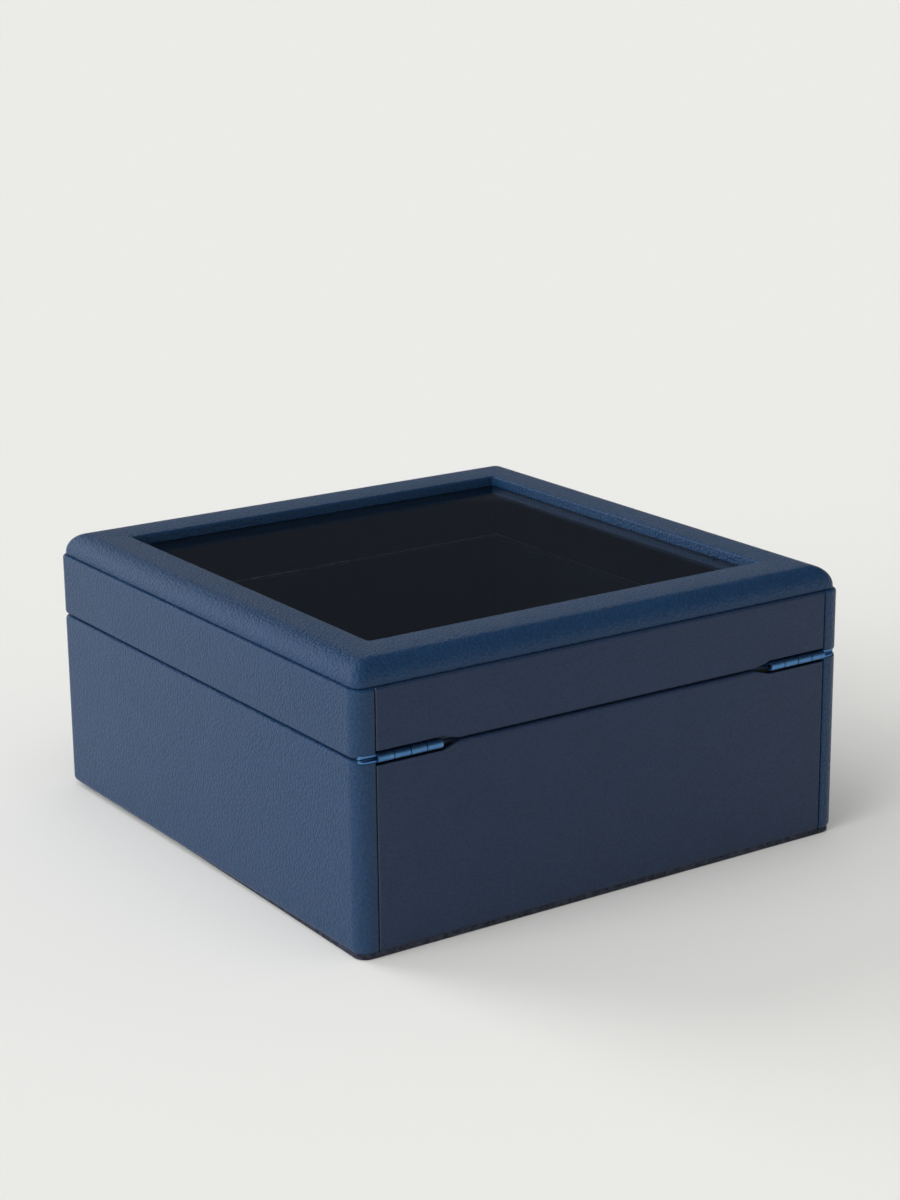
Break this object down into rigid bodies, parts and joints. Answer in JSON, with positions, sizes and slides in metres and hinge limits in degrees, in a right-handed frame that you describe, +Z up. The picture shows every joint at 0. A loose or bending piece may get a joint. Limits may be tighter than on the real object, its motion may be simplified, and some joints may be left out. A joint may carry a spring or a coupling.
{
  "type": "watch box",
  "caption": "Leather-covered watch box with a hinged glass lid, a hook lock, lined cells with lift-out watch cushions, and an open front tray.",
  "frame": {"origin": "centre of the resting face, under the bottom pad", "axes": "+Z up; +Y to the back, where the hinges are; the lock is in the front wall, at -Y"},
  "size_m": [0.254, 0.2636, 0.1241],
  "materials": {
    "grained_leather": "navy, fine pebble grain, satin",
    "smooth_leather": "dark navy, smooth grain, matt",
    "carcass_board": "dark dyed fibreboard",
    "frame_wood": "dark dyed moulding",
    "pad_cloth": "dark cloth, matt",
    "lining_suede": "near black nap, matt",
    "cushion_suede": "near black nap, matt",
    "clear_glass": "polished float glass",
    "blue_metal": "blue anodised, satin",
    "lock_steel": "plated, satin"
  },
  "bodies": {
    "base": {"base_wall_front": "carcass_board", "base_wall_back": "carcass_board", "base_wall_left": "carcass_board", "base_wall_right": "carcass_board", "base_floor": "carcass_board", "base_wrap": "grained_leather", "base_back_panel": "smooth_leather", "bottom_pad": "pad_cloth", "base_liner_front": "lining_suede", "base_liner_back": "lining_suede", "base_liner_left": "lining_suede", "base_liner_right": "lining_suede", "floor_liner": "lining_suede", "row_divider_1": "lining_suede", "tray_divider_long": "lining_suede", "tray_divider_short": "lining_suede", "column_divider_1": "lining_suede", "column_divider_2": "lining_suede", "column_divider_3": "lining_suede", "hinge_base_leaf_left": "blue_metal", "hinge_base_leaf_right": "blue_metal", "hinge_pin_left": "blue_metal", "hinge_pin_right": "blue_metal", "hinge_screws_base": "blue_metal", "lock_case": "lock_steel", "lock_rose": "blue_metal", "lock_screws": "lock_steel"},
    "lid": {"lid_wall_front": "carcass_board", "lid_wall_back": "carcass_board", "lid_wall_left": "carcass_board", "lid_wall_right": "carcass_board", "lid_wrap": "grained_leather", "lid_back_panel": "smooth_leather", "lid_frame_front": "frame_wood", "lid_frame_back": "frame_wood", "lid_frame_left": "frame_wood", "lid_frame_right": "frame_wood", "lid_frame_skin": "grained_leather", "glass_pane": "clear_glass", "glass_bead": "frame_wood", "lid_ceiling_liner": "lining_suede", "lid_liner": "lining_suede", "hinge_lid_leaf_left": "blue_metal", "hinge_lid_leaf_right": "blue_metal", "hinge_screws_lid": "blue_metal", "strike_plate": "lock_steel", "strike_screws": "lock_steel"},
    "lock": {"lock_plug": "blue_metal", "lock_hook": "lock_steel"},
    "cushion_1": {"watch_cushion_1": "cushion_suede"},
    "cushion_2": {"watch_cushion_2": "cushion_suede"},
    "cushion_3": {"watch_cushion_3": "cushion_suede"},
    "cushion_4": {"watch_cushion_4": "cushion_suede"},
    "cushion_5": {"watch_cushion_5": "cushion_suede"},
    "cushion_6": {"watch_cushion_6": "cushion_suede"},
    "cushion_7": {"watch_cushion_7": "cushion_suede"},
    "cushion_8": {"watch_cushion_8": "cushion_suede"}
  },
  "joints": [
    {"name": "lid_hinge", "type": "hinge", "parent": "base", "child": "lid", "pos_m": [0, 0.1298, 0.0852], "axis": [-1, 0, 0], "range_deg": [0, 100]},
    {"name": "lock_turn", "type": "hinge", "parent": "base", "child": "lock", "pos_m": [0, -0.1308, 0.07095], "axis": [0, 1, 0], "range_deg": [0, 90]},
    {"name": "cushion_1_lift", "type": "slide", "parent": "base", "child": "cushion_1", "axis": [0, 0, 1], "range_m": [0, 0.045]},
    {"name": "cushion_2_lift", "type": "slide", "parent": "base", "child": "cushion_2", "axis": [0, 0, 1], "range_m": [0, 0.045]},
    {"name": "cushion_3_lift", "type": "slide", "parent": "base", "child": "cushion_3", "axis": [0, 0, 1], "range_m": [0, 0.045]},
    {"name": "cushion_4_lift", "type": "slide", "parent": "base", "child": "cushion_4", "axis": [0, 0, 1], "range_m": [0, 0.045]},
    {"name": "cushion_5_lift", "type": "slide", "parent": "base", "child": "cushion_5", "axis": [0, 0, 1], "range_m": [0, 0.045]},
    {"name": "cushion_6_lift", "type": "slide", "parent": "base", "child": "cushion_6", "axis": [0, 0, 1], "range_m": [0, 0.045]},
    {"name": "cushion_7_lift", "type": "slide", "parent": "base", "child": "cushion_7", "axis": [0, 0, 1], "range_m": [0, 0.045]},
    {"name": "cushion_8_lift", "type": "slide", "parent": "base", "child": "cushion_8", "axis": [0, 0, 1], "range_m": [0, 0.045]}
  ]
}
